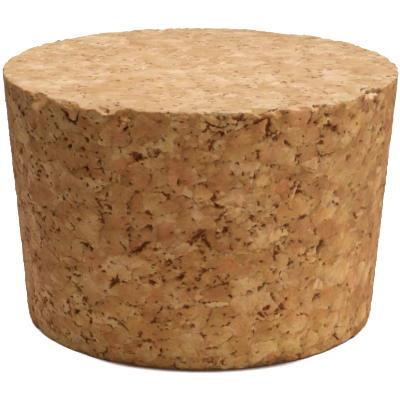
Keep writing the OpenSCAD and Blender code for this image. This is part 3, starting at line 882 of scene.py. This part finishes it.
# One finish of the cork. Its tone is one half plus the weighted differences of granules, blotches and grain
# from their means, its breaks take the colour of the inside, and all of it goes over to the end's colours and
# to a dull surface where "cutEnd" rises. The bump is the fine grain less the relief.
def corkMaterial(name, groups):
    f = finishes[name]
    mat = bpy.data.materials.new(name)
    mat.use_nodes = True
    tree = mat.node_tree
    shader = tree.nodes["Principled BSDF"]
    shader.inputs["Specular IOR Level"].default_value = f["gloss"]
    cut = attribute(tree, "cutEnd")
    plug(tree, shader.inputs["Roughness"], ramp(tree, cut, 0.0, 0.3, *cork["dull"]))
    point = attribute(tree, "grainPoint", "Vector")
    grainNode, colourNode = (tree.nodes.new("ShaderNodeGroup") for _ in range(2))
    grainNode.node_tree, colourNode.node_tree = groups
    g = grainNode.outputs
    plug(tree, grainNode.inputs["Point"], point)
    plug(tree, grainNode.inputs["Hollow"], attribute(tree, "hollow"))
    grainNode.inputs["Break depth"].default_value = grain["bumpDeep"]
    blotch = noise(tree, point, "blotch").outputs[0]
    broad = noise(tree, point, "broad").outputs[0]
    grit = noise(tree, calcVec(tree, "MULTIPLY", point, (1, 1, 1.25)), "grit").outputs[0]

    t, soft = toneShares, f["soft"]
    centred = ((g["tone"], f["granules"]), (blotch, t["blotch"] * soft), (broad, t["broad"] * soft),
               (grit, t["grit"] * soft))
    # painted shading: the tone follows each granule's slant
    tone = add(tree, 0.5, mul(tree, g["tilt"], t["tilt"] * soft))
    for value, share in centred:
        tone = add(tree, tone, mul(tree, sub(tree, value, 0.5), share))
    for k in ("crumbTone", "speck", "seam"):
        tone = add(tree, tone, mul(tree, g[k], t[k]))
    paler = mul(tree, attribute(tree, "paler"), t["paler"])
    tone = add(tree, tone, paler, clamp=True)

    # painted shade: breaks, lost crumbs and voids take the dark inside colour, partly darker cork and partly
    # the shade in these hollows
    crack, void = (mul(tree, g[k], share) for k, share in breakShares.items())
    broken = calc(tree, "MAXIMUM", calc(tree, "MAXIMUM", g["lost"], crack), void)
    rustAndShade = calc(tree, "MAXIMUM", *(mul(tree, g[k], share) for k, share in rustAndShadeShares.items()))
    paleTint = ramp(tree, cut, 0.0, 0.5, f["tint"], finishes["corkEnd"]["tint"])
    for socket, value in (
        ("Point", point), ("Tone", tone), ("Hue", g["hue"]), ("Crisp", g["crisp"]), ("Tint", paleTint),
        ("Redder", attribute(tree, "redder")), ("RustAndShade", mul(tree, rustAndShade, f["dark"])),
        ("Break", mul(tree, broken, f["dark"])),
        ("Inside", (*cork[f["colours"] + "Inside"], 1)),
    ):
        plug(tree, colourNode.inputs[socket], value)
    # painted light: where cutEnd rises, on the ends, the upper edge and broken faces that look up or down,
    # the tones go over to the ends' paler ones
    level = ramp(tree, cut, 0.0, 0.5, 0.0, cork["paleBreak"], smooth=False)
    for socket, own, endOne in zip(("Darkest", "Mean", "Palest"), toneStops(f["colours"]), toneStops("end")):
        plug(tree, colourNode.inputs[socket], blendColour(tree, level, own, endOne))
    plug(tree, shader.inputs["Base Color"], colourNode.outputs["Color"])
    bumpNode = tree.nodes.new("ShaderNodeBump")
    bumpNode.inputs["Strength"].default_value = f["bump"]
    bumpNode.inputs["Distance"].default_value = 1.0
    height = sub(tree, mul(tree, grit, 0.12 * mm), g["relief"])
    plug(tree, bumpNode.inputs["Height"], height)
    plug(tree, shader.inputs["Normal"], bumpNode.outputs["Normal"])
    return mat


room = {
    "floor": (0.76, 0.76, 0.76, 1),          # what the lamps light
    "floorSeen": (1, 1, 1, 1),               # what the camera sees
    # painted shadow: the floor's colours next to the stopper, for the lamps and for the camera
    "paintedShadow": (0.10, 0.05, 0.03, 1),        # the same two for the line under the stopper
    "paintedShadowSeen": (0.06, 0.025, 0.012, 1),
    "paintedShadowReach": 2.5 * mm,                # how far from the stopper the line may show
    "frontClear": (0.48, 0.80),              # openness at which the line ends, at the front
    "sideClear": (0.28, 0.50),               # and at the sides, where the lamps leave a thinner one
    "fill": 0.10,                            # strength of the world's light
}


# The floor, seen as white, with a painted contact shadow: a dark line, drawn from ambient occlusion, where
# the stopper shuts off the light, and a weak even fill
def makeRoom():
    bpy.ops.mesh.primitive_plane_add(size=6, location=(0, 0, 0))
    floor = bpy.context.object
    floor.name = "floor"
    mat = bpy.data.materials.new("floorWhite")
    mat.use_nodes = True
    tree = mat.node_tree
    shader = tree.nodes["Principled BSDF"]
    shader.inputs["Roughness"].default_value = 0.9
    shader.inputs["Specular IOR Level"].default_value = 0.1
    # painted shadow: where ambient occlusion finds the stopper close, the floor darkens to the line's colours
    shut = tree.nodes.new("ShaderNodeAmbientOcclusion")
    shut.samples = 8
    shut.inputs["Distance"].default_value = room["paintedShadowReach"]
    there = parts(tree, tree.nodes.new("ShaderNodeTexCoord").outputs["Object"])
    side = ramp(tree, there[1], -25.0 * mm, -19.0 * mm)
    low, high = (blend(tree, side, a, b) for a, b in zip(room["frontClear"], room["sideClear"]))
    clear = ramp(tree, shut.outputs["AO"], low, high)
    lit, seen = (blendColour(tree, clear, room["paintedShadow" + k], room["floor" + k]) for k in ("", "Seen"))
    plug(tree, shader.inputs["Base Color"], lit)
    plug(tree, shader.inputs["Emission Color"], seen)
    path = tree.nodes.new("ShaderNodeLightPath")
    plug(tree, shader.inputs["Emission Strength"], path.outputs["Is Camera Ray"])
    floor.data.materials.append(mat)
    world = bpy.data.worlds.new("studio")
    scene.world = world
    world.use_nodes = True
    tree = world.node_tree
    back = tree.nodes["Background"]
    path = tree.nodes.new("ShaderNodeLightPath")
    back.inputs["Color"].default_value = (1, 1, 1, 1)
    plug(tree, back.inputs["Strength"], calc(tree, "MAXIMUM", path.outputs["Is Camera Ray"], room["fill"]))
    print("room: floor and world")


# two gridded lamps above, which light the floor round the stopper as well, a key at the right with a low one
# beside it, and a weak fill. Place and aim in metres, then size, watts, colour and, if gridded, the spread.
lamps = {
    "overhead": ((0.02, -0.005, 0.50), (0.02, -0.005, 0), (0.12, 0.12), 0.096, (1.02, 1.0, 0.96), 30),
    "overheadLeft": ((-0.10, 0, 0.50), (-0.075, 0, 0), (0.12, 0.12), 0.036, (1.02, 1.0, 0.96), 26),
    "rightFront": ((0.35, -0.425, 0.16), (0, 0, 0.02), (0.35, 0.30), 1.42, (0.92, 1.0, 1.06), None),
    "rightLow": ((0.60, 0, 0.05), (0, 0, 0.02), (0.30, 0.08), 1.54, (0.84, 1.05, 1.14), None),
    "leftBack": ((-0.45, 0.30, 0.10), (0, 0, 0.02), (0.35, 0.20), 0.62, (1.14, 0.97, 0.72), None),
}


# Each lamp is a rectangle at its place that looks along the line to its aim
def makeLamps():
    for name, (place, aim, size, watts, colour, spread) in lamps.items():
        lamp = bpy.data.lights.new(name, "AREA")
        lamp.shape, lamp.size, lamp.size_y = "RECTANGLE", *size
        lamp.energy, lamp.color = watts, colour
        if spread is not None:
            lamp.spread = radians(spread)
        ob = bpy.data.objects.new(name, lamp)
        scene.collection.objects.link(ob)
        ob.location = place
        ob.rotation_euler = (Vector(aim) - Vector(place)).to_track_quat("-Z", "Y").to_euler()
    print("lamps:", len(lamps))


camera = {
    "lens": 158.1,               # in millimetres, on a sensor of the width below
    "sensor": 36.0,
    "distance": 266.7 * mm,      # from the point aimed at
    "aimZ": 17.17 * mm,          # and that point's height on the stopper's axis
    "elevation": 16.7,
    "azimuth": 0.0,
    "roll": 0.24,
}


# The camera stands at its distance from the aim, in the direction of azimuth and elevation, and looks back
def makeCamera():
    c = camera
    cam = bpy.data.cameras.new("camera")
    cam.lens, cam.sensor_width = c["lens"], c["sensor"]
    cam.clip_start, cam.clip_end = 0.01, 20
    ob = bpy.data.objects.new("camera", cam)
    scene.collection.objects.link(ob)
    a, e = radians(c["azimuth"]), radians(c["elevation"])
    away = Vector((sin(a) * cos(e), -cos(a) * cos(e), sin(e)))
    ob.location = Vector((0, 0, c["aimZ"])) + away * c["distance"]
    turned = (-away).to_track_quat("-Z", "Y") @ Quaternion((0, 0, 1), radians(c["roll"]))
    ob.rotation_euler = turned.to_euler()
    scene.camera = ob
    print("camera:", c["lens"], "mm lens")


body = makeStopper()
groups = (grainGroup(), colourGroup())
for name in finishes:
    body.data.materials.append(corkMaterial(name, groups))
print("materials:", [m.name for m in body.data.materials])
makeRoom()
makeLamps()
makeCamera()
scene.view_settings.view_transform = "Standard"
